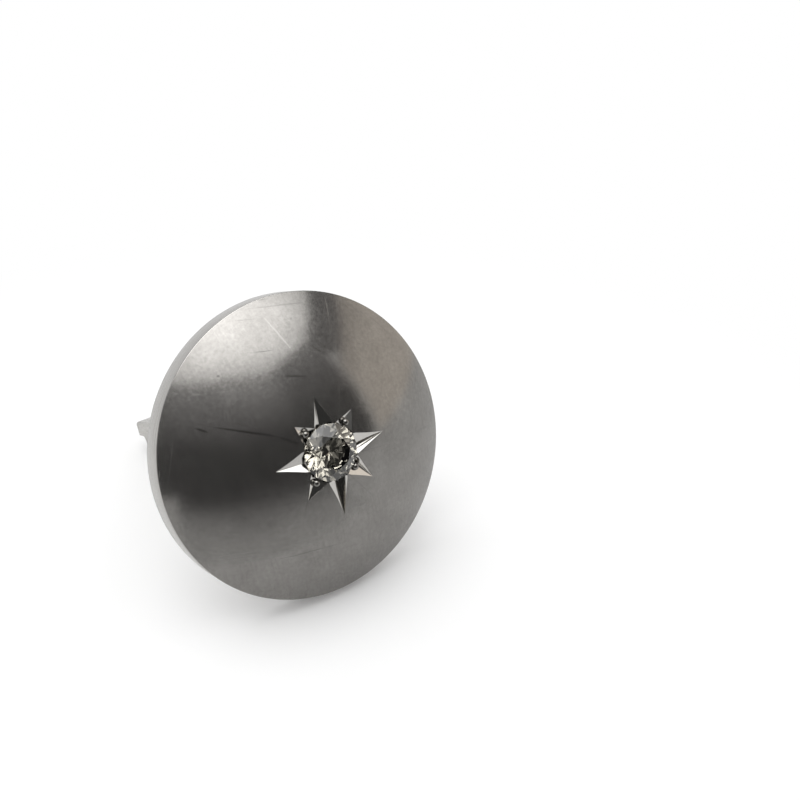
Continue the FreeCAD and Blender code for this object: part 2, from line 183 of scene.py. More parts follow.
# the seat is a cone under a straight wall, and each ray a slim square pyramid that lies edge down on the
# dome, as wide at its root as lets the edges of two neighbours meet at the notch
cutter = start(
    bpy.ops.mesh.primitive_cone_add,
    vertices=96, radius1=0, radius2=SEAT_RADIUS, depth=SEAT_CONE,
    location=(0, 0, GIRDLE_FOOT - SEAT_CONE / 2),
)
pick("FACE", lambda face: face.normal.z > SAME_WAY)
bpy.ops.mesh.extrude_region_move(TRANSFORM_OT_translate={"value": (0, 0, SEAT_WALL)})
bpy.ops.object.mode_set(mode="OBJECT")
cutters = [cutter]
bead_seats = []
notch_along = STAR_NOTCH * math.cos(HALF_STEP)
notch_across = STAR_NOTCH * math.sin(HALF_STEP)
for index, (bearing, reach, lean, deep) in enumerate(RAYS):
    bearing = math.radians(bearing)
    outward = Vector((math.cos(bearing), math.sin(bearing), 0))
    across = Vector((-math.sin(bearing), math.cos(bearing), 0))
    root = outward * RAY_ROOT + Vector((0, 0, dome_z(RAY_ROOT)))
    point = outward * reach + Vector((0, 0, dome_z(reach)))
    run = point - root
    way = run.normalized()
    upright = run.cross(across).normalized()
    lie = Matrix((across, upright, way)).transposed()
    depth = notch_across * (reach - RAY_ROOT) / (reach - notch_along)
    ray = start(bpy.ops.mesh.primitive_cone_add, vertices=4, radius1=depth, depth=run.length)
    # the graver cuts flatter than a square V and leans, so the deepest line lies to one side
    pick("VERT", lambda vert: vert.co.y < -TINY)
    bpy.ops.transform.translate(value=(lean * depth, (1 - deep) * depth, 0))
    bpy.ops.object.mode_set(mode="OBJECT")
    ray.matrix_world = Matrix.Translation((root + point) / 2) @ lie.to_4x4()
    cutters.append(ray)
    if index % 2:
        # each diagonal ray has a bead in its V, against both its walls and the girdle
        taper = depth / run.length
        lift = (BEAD_RADIUS + BEAD_GAP) * math.sqrt(2 + taper**2) - depth
        bead_reach = STONE_RADIUS + BEAD_RADIUS + BEAD_GAP
        slope = upright.dot(outward)
        along_ray = (bead_reach - RAY_ROOT - slope * lift) / (way.dot(outward) + slope * taper)
        bead_seats.append((root + way * along_ray + upright * (lift + taper * along_ray), upright))
bpy.ops.object.select_all(action="DESELECT")
for cutter in cutters:
    cutter.select_set(True)
bpy.context.view_layer.objects.active = cutters[0]
bpy.ops.object.join()
carve(dome, cutters[0])


def linear(code):
    """An sRGB hex colour as linear light."""
    parts = [int(code[i:i + 2], 16) / 255 for i in (1, 3, 5)]
    return *(c / 12.92 if c <= 0.04045 else ((c + 0.055) / 1.055) ** 2.4 for c in parts), 1.0


def add(tree, kind, inputs=None, **settings):
    """Add a shader node with its settings, and set or link its inputs."""
    node = tree.nodes.new("ShaderNode" + kind)
    for name, value in settings.items():
        setattr(node, name, value)
    for name, value in (inputs or {}).items():
        if isinstance(value, bpy.types.NodeSocket):
            tree.links.new(value, node.inputs[name])
        else:
            node.inputs[name].default_value = value
    return node


def new_material(name):
    """A node material cleared of its nodes, with the face's own coordinates in millimetres."""
    material = bpy.data.materials.new(name)
    material.use_nodes = True
    tree = material.node_tree
    tree.nodes.clear()
    place = add(tree, "TexCoord").outputs["Object"]
    face = add(
        tree, "Mapping",
        {"Vector": place, "Location": BUTTON.translation, "Rotation": turn.to_euler(), "Scale": (MM,) * 3},
        vector_type="TEXTURE",
    )
    return material, tree, face.outputs["Vector"]


# Rhodium-plated white metal, rubbed by hand with fine abrasive: grey, with a soft gloss that is clouded
# by handling, a grain of hairlines, a few longer scratches and small pits. Clouds are some 1.7 mm wide and
# the abrasive's grit leaves spots of 0.2 mm.
satin, tree, face = new_material("satin_rhodium_plate")
cloud = add(tree, "TexNoise", {"Vector": face, "Scale": 0.6, "Detail": 6.0, "Roughness": 0.6})
# hairlines of 0.05 mm are too fine for the picture, so they are drawn 0.1 mm wide
hair_way = add(
    tree, "Mapping",
    {"Vector": face, "Rotation": (0, 0, 0.12), "Scale": (0.1, 1.4, 1.4)}, vector_type="TEXTURE",
)
hairline = add(
    tree, "TexNoise", {"Vector": hair_way.outputs[0], "Scale": 1.0, "Detail": 4.0, "Roughness": 0.7}
)
grit = add(tree, "TexNoise", {"Vector": face, "Scale": 5.0, "Detail": 4.0, "Roughness": 0.65})
mixed = add(
    tree, "Mix", {"Factor": 0.6, "A": hairline.outputs["Fac"], "B": grit.outputs["Fac"]}, data_type="FLOAT"
)
# scratches are 0.1 mm wide and some 4 mm long, in three directions
marks = None
for bearing, rarity in ((-0.15, 0.72), (-0.95, 0.74), (1.2, 0.74)):
    scratch_way = add(
        tree, "Mapping",
        {"Vector": face, "Rotation": (0, 0, bearing), "Scale": (5.0, 0.11, 3.0)}, vector_type="TEXTURE",
    )
    strand = add(
        tree, "TexNoise",
        {"Vector": scratch_way.outputs[0], "Scale": 1.0, "Detail": 1.0, "Distortion": 0.4},
    )
    scratch = add(
        tree, "MapRange", {"Value": strand.outputs["Fac"], "From Min": rarity, "From Max": rarity + 0.05}
    ).outputs[0]
    if marks:
        scratch = add(tree, "Math", {0: marks, 1: scratch}, operation="MAXIMUM").outputs[0]
    marks = scratch
# a few pits of 0.1 mm on the whole face
cell = add(tree, "TexVoronoi", {"Vector": face, "Scale": 0.5})
pit = add(
    tree, "MapRange",
    {"Value": cell.outputs["Distance"], "From Min": 0.02, "From Max": 0.05, "To Min": 1.0, "To Max": 0.0},
)
marks = add(tree, "Math", {0: marks, 1: pit.outputs[0]}, operation="MAXIMUM").outputs[0]
tone = add(
    tree, "Mix", {"Factor": 0.55, "A": cloud.outputs["Fac"], "B": grit.outputs["Fac"]}, data_type="FLOAT"
)
tone = add(tree, "MapRange", {"Value": tone.outputs[0], "From Min": 0.32, "From Max": 0.68})
colour = add(
    tree, "Mix",
    {"Factor": tone.outputs[0], "A": linear("#767471"), "B": linear("#8c8a87")}, data_type="RGBA",
)
dull = add(tree, "Math", {0: marks, 1: 0.2}, operation="MULTIPLY")
colour = add(
    tree, "Mix",
    {"Factor": dull.outputs[0], "A": colour.outputs[2], "B": linear("#3d3c3a")}, data_type="RGBA",
)
# the longest scratches of wear, 0.1 mm wide: the middle of each on the face, its way in degrees, half its
# length, how much it takes of its tone, and the tone, light for the first and dark for the others. Each
# goes deeper than the dome is high, so that the dome's curve doesn't end it.
WEAR_HALF = 0.07
WEAR_DEEP = 50
for x, y, way, half, share, shade in (
    (-0.66, 6.92, -71, 1.3, 0.14, "#c0bebb"),
    (-4.2, 2.52, -25, 1.9, 0.55, "#1e1d1c"),
    (-2.25, 1.45, -37, 0.75, 0.45, "#1e1d1c"),
    (-6.29, 3.22, -36, 0.4, 0.55, "#1e1d1c"),
    (-0.65, 4.58, -18, 0.8, 0.35, "#1e1d1c"),
):
    near = add(
        tree, "Mapping",
        {
            "Vector": face, "Location": (x, y, 0), "Rotation": (0, 0, math.radians(way)),
            "Scale": (half, WEAR_HALF, WEAR_DEEP),
        },
        vector_type="TEXTURE",
    )
    drawn = add(tree, "TexGradient", {"Vector": near.outputs[0]}, gradient_type="SPHERICAL")
    taken = add(tree, "MapRange", {"Value": drawn.outputs["Fac"], "From Max": 0.4, "To Max": share})
    colour = add(
        tree, "Mix",
        {"Factor": taken.outputs[0], "A": colour.outputs[2], "B": linear(shade)}, data_type="RGBA",
    )
rough = add(
    tree, "MapRange",
    {"Value": mixed.outputs[0], "From Min": 0.3, "From Max": 0.7, "To Min": 0.11, "To Max": 0.21},
)
height = add(tree, "Math", {0: mixed.outputs[0], 1: marks}, operation="SUBTRACT")
relief = add(tree, "Bump", {"Height": height.outputs[0], "Strength": 0.15, "Distance": 0.02 * MM})
gloss = add(
    tree, "BsdfPrincipled",
    {
        "Base Color": colour.outputs[2], "Metallic": 1.0, "Roughness": rough.outputs[0],
        "Normal": relief.outputs[0],
    },
)
# the sides of the hairlines throw a small share of the light wide, which lifts the darks like a thin haze
haze = add(tree, "BsdfPrincipled", {"Base Color": colour.outputs[2], "Metallic": 1.0, "Roughness": 0.65})
spread = add(
    tree, "MapRange",
    {"Value": hairline.outputs["Fac"], "From Min": 0.3, "From Max": 0.7, "To Min": 0.15, "To Max": 0.25},
)
shader = add(tree, "MixShader", {0: spread.outputs[0], 1: gloss.outputs[0], 2: haze.outputs[0]})
add(tree, "OutputMaterial", {"Surface": shader.outputs[0]})

# The same metal where the graver has cut it: nearly a mirror, broken by the tool's chatter of 0.1 mm
bright, tree, face = new_material("bright_cut_white_metal")
chatter = add(tree, "TexNoise", {"Vector": face, "Scale": 9.0, "Detail": 3.0})
rough = add(
    tree, "MapRange",
    {"Value": chatter.outputs["Fac"], "From Min": 0.35, "From Max": 0.65, "To Min": 0.05, "To Max": 0.13},
)
colour = add(
    tree, "Mix",
    {"Factor": chatter.outputs["Fac"], "A": linear("#b0aeaa"), "B": linear("#c2c0bc")}, data_type="RGBA",
)
shader = add(
    tree, "BsdfPrincipled",
    {"Base Color": colour.outputs[2], "Metallic": 1.0, "Roughness": rough.outputs[0]},
)
add(tree, "OutputMaterial", {"Surface": shader.outputs[0]})


def on_ball(face):
    """True on the pressed faces of the cap and its flat edge, false on what the tools have cut."""
    centre = middle(face)
    spoke = centre - Vector((0, 0, BALL_Z))
    return abs(face.normal.dot(spoke.normalized())) > SAME_WAY or centre.z < EDGE_BAND


dome.data.materials.append(satin)
dome.data.materials.append(bright)
bpy.ops.object.mode_set(mode="EDIT")
pick("FACE", lambda face: not on_ball(face))
dome.active_material_index = 1
bpy.ops.object.material_slot_assign()
bpy.ops.object.mode_set(mode="OBJECT")
settle(dome, "dome")

# the cuts leave long thin faces in the cap, so its true round normals are given to the pressed face
ball_centre = BUTTON @ Vector((0, 0, BALL_Z))
normals = [corner.vector.copy() for corner in dome.data.corner_normals]
for polygon in dome.data.polygons:
    for corner in polygon.loop_indices:
        spoke = dome.data.vertices[dome.data.loops[corner].vertex_index].co - ball_centre
        outside = abs(spoke.length - BALL_RADIUS * MM) < SKIN * MM
        if polygon.material_index == 0 and outside and polygon.normal.dot(spoke.normalized()) > SAME_WAY:
            normals[corner] = spoke.normalized()
        elif polygon.material_index == 1:
            normals[corner] = polygon.normal.copy()
dome.data.normals_split_custom_set(normals)
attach(dome, "button")
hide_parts("dome_shell")

# Rim band
# A strip of the same metal bent to a ring, soldered under the dome's edge and turned true. It has a step
# behind for the back plate. Its wall is smoother and lighter than the dome, with its edges just broken.
RIM_DEPTH = 1.62
RIM_INNER = 8.0
STEP_RADIUS = 8.5
PLATE_WALL = 0.6
RIM_EDGE = 0.05
RIM_STEPS = 288

# the section is a plate on edge, from which the step is taken out
rim = start(bpy.ops.mesh.primitive_plane_add, size=1, rotation=(math.pi / 2, 0, 0))
bpy.ops.mesh.select_all(action="SELECT")
bpy.ops.transform.resize(value=(DISC_RADIUS - RIM_INNER, 1, RIM_DEPTH))
bpy.ops.transform.translate(value=((DISC_RADIUS + RIM_INNER) / 2, 0, -RIM_DEPTH / 2))
bpy.ops.mesh.bisect(plane_co=(STEP_RADIUS, 0, 0), plane_no=(1, 0, 0))
bpy.ops.mesh.select_all(action="SELECT")
bpy.ops.mesh.bisect(plane_co=(0, 0, PLATE_WALL - RIM_DEPTH), plane_no=(0, 0, 1))
pick("FACE", lambda f: middle(f).x < STEP_RADIUS and middle(f).z < PLATE_WALL - RIM_DEPTH)
bpy.ops.mesh.delete(type="FACE")
bpy.ops.mesh.select_all(action="SELECT")
bpy.ops.mesh.dissolve_faces()
pick(
    "VERT",
    lambda v: v.co.x > DISC_RADIUS - NEAR or (v.co.x > STEP_RADIUS - NEAR and v.co.z < NEAR - RIM_DEPTH),
)
bpy.ops.mesh.bevel(offset=RIM_EDGE, segments=3, affect="VERTICES")
# its outline is spun round the button's axis to a closed ring
bpy.ops.mesh.select_all(action="SELECT")
bpy.ops.mesh.delete(type="ONLY_FACE")
bpy.ops.mesh.select_all(action="SELECT")
bpy.ops.mesh.spin(steps=RIM_STEPS, angle=2 * math.pi, center=(0, 0, 0), axis=(0, 0, 1))
bpy.ops.mesh.select_all(action="SELECT")
bpy.ops.mesh.remove_doubles(threshold=0.001)
bpy.ops.mesh.normals_make_consistent(inside=False)
bpy.ops.object.mode_set(mode="OBJECT")

# White metal turned and finished with a fine paper, so that lines of about 0.1 mm run round the band
band, tree, face = new_material("turned_white_metal")
smear = add(tree, "TexNoise", {"Vector": face, "Scale": 0.8, "Detail": 5.0, "Roughness": 0.6})
depth = add(tree, "Mapping", {"Vector": face, "Scale": (0.25, 0.25, 11.0)})
line = add(tree, "TexNoise", {"Vector": depth.outputs[0], "Scale": 1.0, "Detail": 3.0, "Roughness": 0.7})
colour = add(
    tree, "Mix",
    {"Factor": smear.outputs["Fac"], "A": linear("#9c9a97"), "B": linear("#b4b2af")}, data_type="RGBA",
)
rough = add(
    tree, "MapRange",
    {"Value": line.outputs["Fac"], "From Min": 0.3, "From Max": 0.7, "To Min": 0.2, "To Max": 0.34},
)
relief = add(tree, "Bump", {"Height": line.outputs["Fac"], "Strength": 0.2, "Distance": 0.02 * MM})
shader = add(
    tree, "BsdfPrincipled",
    {
        "Base Color": colour.outputs[2], "Metallic": 1.0, "Roughness": rough.outputs[0],
        "Normal": relief.outputs[0],
    },
)
add(tree, "OutputMaterial", {"Surface": shader.outputs[0]})
rim.data.materials.append(band)
settle(rim, "rim")
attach(rim, "button")
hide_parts("rim_band")

# Back plate
# A flat disc of sheet, soldered into the step of the rim and pierced for the foot of the post.
# It is left as the fine paper leaves it, with straight hairlines and a dull gloss.
PLATE_RADIUS = 8.47
PLATE_EDGE = 0.03
FOOT_LENGTH = 6.4
FOOT_WIDTH = 4.0
FOOT_WALL = 0.5
SOLDER_GAP = 0.03


def foot_form(grow, low, height):
    """A round bar pulled out sideways: the outline of the post's foot, larger all round by grow."""
    form = start(
        bpy.ops.mesh.primitive_cylinder_add,
        vertices=96, radius=FOOT_WIDTH / 2 + grow, depth=height, location=(0, 0, low + height / 2),
    )
    for side in (-1, 1):
        pick("VERT", lambda vert: vert.co.x * side > TINY)
        bpy.ops.transform.translate(value=(side * (FOOT_LENGTH - FOOT_WIDTH) / 2, 0, 0))
    bpy.ops.object.mode_set(mode="OBJECT")
    return form


def break_edges(piece, width, segments):
    """Round the sharp edges of a piece as a file or a paper does."""
    shape(piece, "BEVEL", width=width, segments=segments, limit_method="ANGLE", angle_limit=math.radians(50))


plate = start(
    bpy.ops.mesh.primitive_cylinder_add,
    vertices=240, radius=PLATE_RADIUS, depth=PLATE_WALL, location=(0, 0, PLATE_WALL / 2 - RIM_DEPTH),
)
bpy.ops.object.mode_set(mode="OBJECT")
carve(plate, foot_form(SOLDER_GAP, -RIM_DEPTH - PLATE_WALL, 3 * PLATE_WALL))
break_edges(plate, PLATE_EDGE, 2)

# White metal rubbed straight with fine paper: dull, with lines of 0.1 mm in one direction and broad smears
back, tree, face = new_material("papered_white_metal")
smear = add(tree, "TexNoise", {"Vector": face, "Scale": 0.5, "Detail": 6.0, "Roughness": 0.65})
stroke = add(
    tree, "Mapping",
    {"Vector": face, "Rotation": (0, 0, 0.5), "Scale": (2.5, 0.11, 2.5)}, vector_type="TEXTURE",
)
line = add(tree, "TexNoise", {"Vector": stroke.outputs[0], "Scale": 1.0, "Detail": 4.0, "Roughness": 0.7})
colour = add(
    tree, "Mix",
    {"Factor": smear.outputs["Fac"], "A": linear("#98958f"), "B": linear("#b9b7b3")}, data_type="RGBA",
)
rough = add(
    tree, "MapRange",
    {"Value": line.outputs["Fac"], "From Min": 0.3, "From Max": 0.7, "To Min": 0.24, "To Max": 0.4},
)
relief = add(tree, "Bump", {"Height": line.outputs["Fac"], "Strength": 0.3, "Distance": 0.02 * MM})
shader = add(
    tree, "BsdfPrincipled",
    {
        "Base Color": colour.outputs[2], "Metallic": 1.0, "Roughness": rough.outputs[0],
        "Normal": relief.outputs[0],
    },
)
add(tree, "OutputMaterial", {"Surface": shader.outputs[0]})
plate.data.materials.append(back)
settle(plate, "back_plate_disc")
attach(plate, "button")
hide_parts("back_plate")

# Seat bush
# A turned collar soldered behind the dome, which gives the thin shell the depth that the stone's seat
# needs. Only a little of it shows, through the stone.
bush = frame["nodes"]["seat_bush"]
bush.data.materials.clear()
bush.data.materials.append(band)

# Brilliant
# A clear round stone with 57 facets, dropped into the cone of its seat and held by the beads.
# The CAD facets are flat and meet in true edges, so the node is kept as it is.
stone = frame["nodes"]["brilliant"]
# Diamond, polished: it bends light strongly and mirrors it inside. It has a trace of warmth that changes
# across the stone, and its colour is grey because the cards that shape the metal are brighter than a room.
diamond, tree, face = new_material("clear_diamond")
warmth = add(tree, "TexNoise", {"Vector": face, "Scale": 0.9, "Detail": 2.0})
colour = add(
    tree, "Mix",
    {"Factor": warmth.outputs["Fac"], "A": linear("#8a867b"), "B": linear("#a09c92")}, data_type="RGBA",
)
shader = add(
    tree, "BsdfPrincipled",
    {
        "Base Color": colour.outputs[2], "Roughness": 0.0, "IOR": 2.417, "Transmission Weight": 1.0,
        "Specular Tint": linear("#a0a0a0"),
    },
)
add(tree, "OutputMaterial", {"Surface": shader.outputs[0]})
stone.data.materials.clear()
stone.data.materials.append(diamond)

# Grain beads
# Four grains of the dome's own metal, raised with a graver on the diagonal rays, pushed against the
# girdle and rounded with a beading tool, which leaves them bright.
BEAD_STEM = 1.5
bead = start(bpy.ops.mesh.primitive_uv_sphere_add, segments=40, ring_count=24, radius=BEAD_RADIUS)
# the lower half is drawn out to the stem on which the grain was raised
pick("VERT", lambda vert: vert.co.z < -TINY)
bpy.ops.transform.resize(value=(1, 1, BEAD_STEM), center_override=(0, 0, 0))
bpy.ops.object.mode_set(mode="OBJECT")
beads = []
for at, upright in bead_seats:
    copy = bead.copy()
    copy.data = bead.data.copy()
    bpy.context.collection.objects.link(copy)
    stand = Vector((0, 0, 1)).rotation_difference(upright)
    copy.matrix_world = Matrix.Translation(at) @ stand.to_matrix().to_4x4()
    beads.append(copy)
bpy.data.objects.remove(bead)
bpy.ops.object.select_all(action="DESELECT")
for copy in beads:
    copy.select_set(True)
bpy.context.view_layer.objects.active = beads[0]
bpy.ops.object.join()
bpy.ops.object.transform_apply()
# The same metal, rounded in the beading tool: smooth, darkened below the bright cut as painted shade for the
# dark surroundings it mirrors, with a tone that varies in spots of 0.2 mm
grain, tree, face = new_material("beaded_white_metal_painted_shade")
mark = add(tree, "TexNoise", {"Vector": face, "Scale": 6.0, "Detail": 3.0})
colour = add(
    tree, "Mix",
    {"Factor": mark.outputs["Fac"], "A": linear("#6a6865"), "B": linear("#84827e")}, data_type="RGBA",
)
rough = add(
    tree, "MapRange",
    {"Value": mark.outputs["Fac"], "From Min": 0.35, "From Max": 0.65, "To Min": 0.06, "To Max": 0.14},
)
shader = add(
    tree, "BsdfPrincipled",
    {"Base Color": colour.outputs[2], "Metallic": 1.0, "Roughness": rough.outputs[0]},
)
add(tree, "OutputMaterial", {"Surface": shader.outputs[0]})
beads[0].data.materials.append(grain)
settle(beads[0], "beads", angle=50)
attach(beads[0], "button")
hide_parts("grain_beads")

# Post foot
# A bar with round ends, let through the back plate and soldered, so that the pull of the cuff is spread.
# Its edges are rounded over with the file.
FOOT_EDGE = 0.14
foot = foot_form(0, -RIM_DEPTH - FOOT_WALL, PLATE_WALL + FOOT_WALL)
break_edges(foot, FOOT_EDGE, 4)
foot.data.materials.append(back)
settle(foot, "foot")
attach(foot, "button")
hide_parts("post_foot")

# Stirrup
# A strip bent to a U and soldered on the foot. Its two cheeks hold the rivet and end in a half circle.
# The bends are round, and the edges broken with a file.
CHEEK_HALF = 1.1931
CHEEK_INNER = 0.8
CHEEK_OUTER = 1.4
STRIP_WALL = 0.6
STRIP_BEND = 0.2
STRIP_EDGE = 0.06
RIVET_RADIUS = 0.45
RIVET_FIT = 0.02
# a tool that cuts through stands out this far, and a half circle is rounded just short of its full width
THROUGH = 4.0
FULL_ROUND = 0.999
bridge_z = -RIM_DEPTH - FOOT_WALL
cheek_end = -PIVOT_DEPTH - CHEEK_HALF


def block(low, high):
    """A box between two corners, open in edit mode."""
    sizes = [b - a for a, b in zip(low, high)]
    centre = [(a + b) / 2 for a, b in zip(low, high)]
    form = start(bpy.ops.mesh.primitive_cube_add, size=1)
    bpy.ops.mesh.select_all(action="SELECT")
    bpy.ops.transform.resize(value=sizes)
    bpy.ops.transform.translate(value=centre)
    return form


def along(edge, axis):
    """True if an edge runs along an axis, 0 to 2."""
    way = (edge.verts[1].co - edge.verts[0].co).normalized()
    return abs(way[axis]) > SAME_WAY


stirrup = block((-CHEEK_HALF, -CHEEK_OUTER, cheek_end), (CHEEK_HALF, CHEEK_OUTER, bridge_z))
pick("EDGE", lambda e: along(e, 0) and middle(e).z > bridge_z - NEAR)
bpy.ops.mesh.bevel(offset=STRIP_BEND + STRIP_WALL, segments=10)
pick("EDGE", lambda e: along(e, 1) and middle(e).z < cheek_end + NEAR)
bpy.ops.mesh.bevel(offset=CHEEK_HALF * FULL_ROUND, segments=24)
bpy.ops.object.mode_set(mode="OBJECT")
slot = block(
    (-THROUGH, -CHEEK_INNER, cheek_end - THROUGH), (THROUGH, CHEEK_INNER, bridge_z - STRIP_WALL)
)
pick("EDGE", lambda e: along(e, 0) and middle(e).z > bridge_z - STRIP_WALL - NEAR)
bpy.ops.mesh.bevel(offset=STRIP_BEND, segments=6)
bpy.ops.object.mode_set(mode="OBJECT")
carve(stirrup, slot)
bore = start(
    bpy.ops.mesh.primitive_cylinder_add,
    vertices=48, radius=RIVET_RADIUS + RIVET_FIT, depth=THROUGH, location=(0, 0, -PIVOT_DEPTH),
    rotation=(math.pi / 2, 0, 0),
)
bpy.ops.object.mode_set(mode="OBJECT")
carve(stirrup, bore)
break_edges(stirrup, STRIP_EDGE, 3)
stirrup.data.materials.append(back)
settle(stirrup, "stirrup")
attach(stirrup, "button")
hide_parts("post_stirrup")

# Rivet
# A pin through the cheeks, the sleeve and both wings, closed on each side to a low round head.
# The heads are spun over with a snap tool and keep its polish.
HEAD_RADIUS = 0.9
HEAD_HEIGHT = 0.35
HEAD_BALL = (HEAD_RADIUS**2 + HEAD_HEIGHT**2) / (2 * HEAD_HEIGHT)
HEAD_STEPS = 8
rivet = start(
    bpy.ops.mesh.primitive_cylinder_add,
    vertices=64, radius=RIVET_RADIUS, depth=2 * CHEEK_OUTER, location=(0, 0, -PIVOT_DEPTH),
    rotation=(math.pi / 2, 0, 0),
)
for side in (-1, 1):
    pick("FACE", lambda face: face.normal.y * side > SAME_WAY and len(face.verts) > 4)
    radius = RIVET_RADIUS
    rise = 0.0
    for step in range(HEAD_STEPS):
        new_radius = HEAD_RADIUS * math.cos(math.pi / 2 * step / HEAD_STEPS)
        new_rise = math.sqrt(HEAD_BALL**2 - new_radius**2) - HEAD_BALL + HEAD_HEIGHT
        bpy.ops.mesh.extrude_region_move(TRANSFORM_OT_translate={"value": (0, side * (new_rise - rise), 0)})
        ratio = new_radius / radius
        bpy.ops.transform.resize(
            value=(ratio, 1, ratio), center_override=(0, side * (CHEEK_OUTER + new_rise), -PIVOT_DEPTH)
        )
        radius, rise = new_radius, new_rise
    bpy.ops.mesh.poke()
bpy.ops.object.mode_set(mode="OBJECT")
# White metal under the snap tool's polish: bright, with marks of 0.3 mm that are duller
polish, tree, face = new_material("snapped_white_metal")
mark = add(tree, "TexNoise", {"Vector": face, "Scale": 3.0, "Detail": 5.0, "Roughness": 0.65})
colour = add(
    tree, "Mix",
    {"Factor": mark.outputs["Fac"], "A": linear("#a8a6a2"), "B": linear("#c9c7c3")}, data_type="RGBA",
)
rough = add(
    tree, "MapRange",
    {"Value": mark.outputs["Fac"], "From Min": 0.3, "From Max": 0.7, "To Min": 0.12, "To Max": 0.28},
)
shader = add(
    tree, "BsdfPrincipled",
    {"Base Color": colour.outputs[2], "Metallic": 1.0, "Roughness": rough.outputs[0]},
)
add(tree, "OutputMaterial", {"Surface": shader.outputs[0]})
rivet.data.materials.append(polish)
settle(rivet, "rivet", angle=40)
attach(rivet, "button")
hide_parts("pivot_rivet")

# Sleeve
# A short tube on the rivet between the lower cheek and the wings. It keeps the wings up against the
# upper cheek and carries the spring.
SLEEVE_RADIUS = 0.75
SLEEVE_LOW = -CHEEK_INNER
SLEEVE_HIGH = -0.05
SLEEVE_EDGE = 0.03
sleeve = start(
    bpy.ops.mesh.primitive_cylinder_add,
    vertices=64, radius=SLEEVE_RADIUS, depth=SLEEVE_HIGH - SLEEVE_LOW, end_fill_type="NOTHING",
    location=(0, (SLEEVE_LOW + SLEEVE_HIGH) / 2, -PIVOT_DEPTH), rotation=(math.pi / 2, 0, 0),
)
bpy.ops.object.mode_set(mode="OBJECT")
shape(sleeve, "SOLIDIFY", thickness=SLEEVE_RADIUS - RIVET_RADIUS - RIVET_FIT, offset=-1)
break_edges(sleeve, SLEEVE_EDGE, 2)
sleeve.data.materials.append(polish)
settle(sleeve, "sleeve")
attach(sleeve, "button")
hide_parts("pivot_sleeve")

# Wing spring
# A hairpin of thin steel strip round the sleeve, whose legs press the wings apart. It is drawn as two
# halves that meet in front of the sleeve, one for each leg, since each leg bends with its own wing; here
# both stay put at the pivot.
SPRING_WALL = 0.15
SPRING_WIDTH = 0.55
SPRING_FIT = 0.05
SPRING_INNER = SLEEVE_RADIUS + SPRING_FIT
SPRING_Y = -0.4
LEG_TURN = math.radians(18)
LEG_LENGTH = 3.77
LEG_STEPS = 12
# Spring steel strip, hardened and let down: colder and greyer than the white metal, with a grain of 0.2 mm
steel, tree, face = new_material("tempered_spring_steel")
speck = add(tree, "TexNoise", {"Vector": face, "Scale": 6.0, "Detail": 4.0, "Roughness": 0.6})
colour = add(
    tree, "Mix",
    {"Factor": speck.outputs["Fac"], "A": linear("#83838a"), "B": linear("#a6a6aa")}, data_type="RGBA",
)
rough = add(
    tree, "MapRange",
    {"Value": speck.outputs["Fac"], "From Min": 0.3, "From Max": 0.7, "To Min": 0.22, "To Max": 0.36},
)
shader = add(
    tree, "BsdfPrincipled",
    {"Base Color": colour.outputs[2], "Metallic": 1.0, "Roughness": rough.outputs[0]},
)
add(tree, "OutputMaterial", {"Surface": shader.outputs[0]})
AT_PIVOT = BUTTON @ Matrix.Translation((0, 0, -PIVOT_DEPTH))
for name, side in (("left", -1), ("right", 1)):
    # the arc from the front of the sleeve to where the leg leaves it is kept from a round wall
    spring = start(
        bpy.ops.mesh.primitive_cylinder_add,
        vertices=120, radius=SPRING_INNER + SPRING_WALL, depth=SPRING_WIDTH, end_fill_type="NOTHING",
        location=(0, SPRING_Y, 0), rotation=(math.pi / 2, 0, 0),
    )
    bpy.ops.mesh.select_all(action="SELECT")
    bpy.ops.mesh.bisect(plane_co=(0, 0, 0), plane_no=(side, 0, 0), clear_inner=True)
    leg_way = Vector((side * math.sin(LEG_TURN), 0, -math.cos(LEG_TURN)))
    pick(
        "FACE",
        lambda f: middle(f).dot(leg_way) > NEAR
        and middle(f).x * side < (SPRING_INNER + SPRING_WALL) * math.cos(LEG_TURN),
    )
    bpy.ops.mesh.delete(type="FACE")
    pick("EDGE", lambda e: e.is_boundary and along(e, 1) and middle(e).z < SPRING_INNER / 2)
    for step in range(LEG_STEPS):
        bpy.ops.mesh.extrude_region_move(TRANSFORM_OT_translate={"value": leg_way * LEG_LENGTH / LEG_STEPS})
    bpy.ops.mesh.select_all(action="SELECT")
    bpy.ops.mesh.normals_make_consistent(inside=False)
    bpy.ops.object.mode_set(mode="OBJECT")
    shape(spring, "SOLIDIFY", thickness=SPRING_WALL, offset=-1)
    spring.data.materials.append(steel)
    settle(spring, "spring_" + name, AT_PIVOT)
    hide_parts("wing_spring")
    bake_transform(spring)

# Wings
# Two leaves stamped from sheet, one over the other on the rivet, each with its outer edge turned down to a
# flange that deepens to a toe, on which the cufflink stands, and is cut back to a narrow strip at the tip.
# Squeezed together, they pass the buttonhole.
WING_WALL = 0.35
WING_OUTER = 1.85
WING_INNER = 1.35
WING_LENGTH = 12.75
WING_SPLAY = math.radians(10)
WING_FIT = 0.05
WING_EDGE = 0.05
LEFT_TOP = 0.75
RIGHT_TOP = 0.35
BEND_INSIDE = 0.05
BEND_OUTSIDE = 0.2
TIP_ROUND = 0.5
TIP_DEPTH = 1.05
NOTCH_ROUND = 0.4
HEEL_DROP = -1.2
HEEL_ROUND = 0.4
TOE_DROP = -2.345
TOE_REACH = 11.95
TOE_ROUND = 1.0
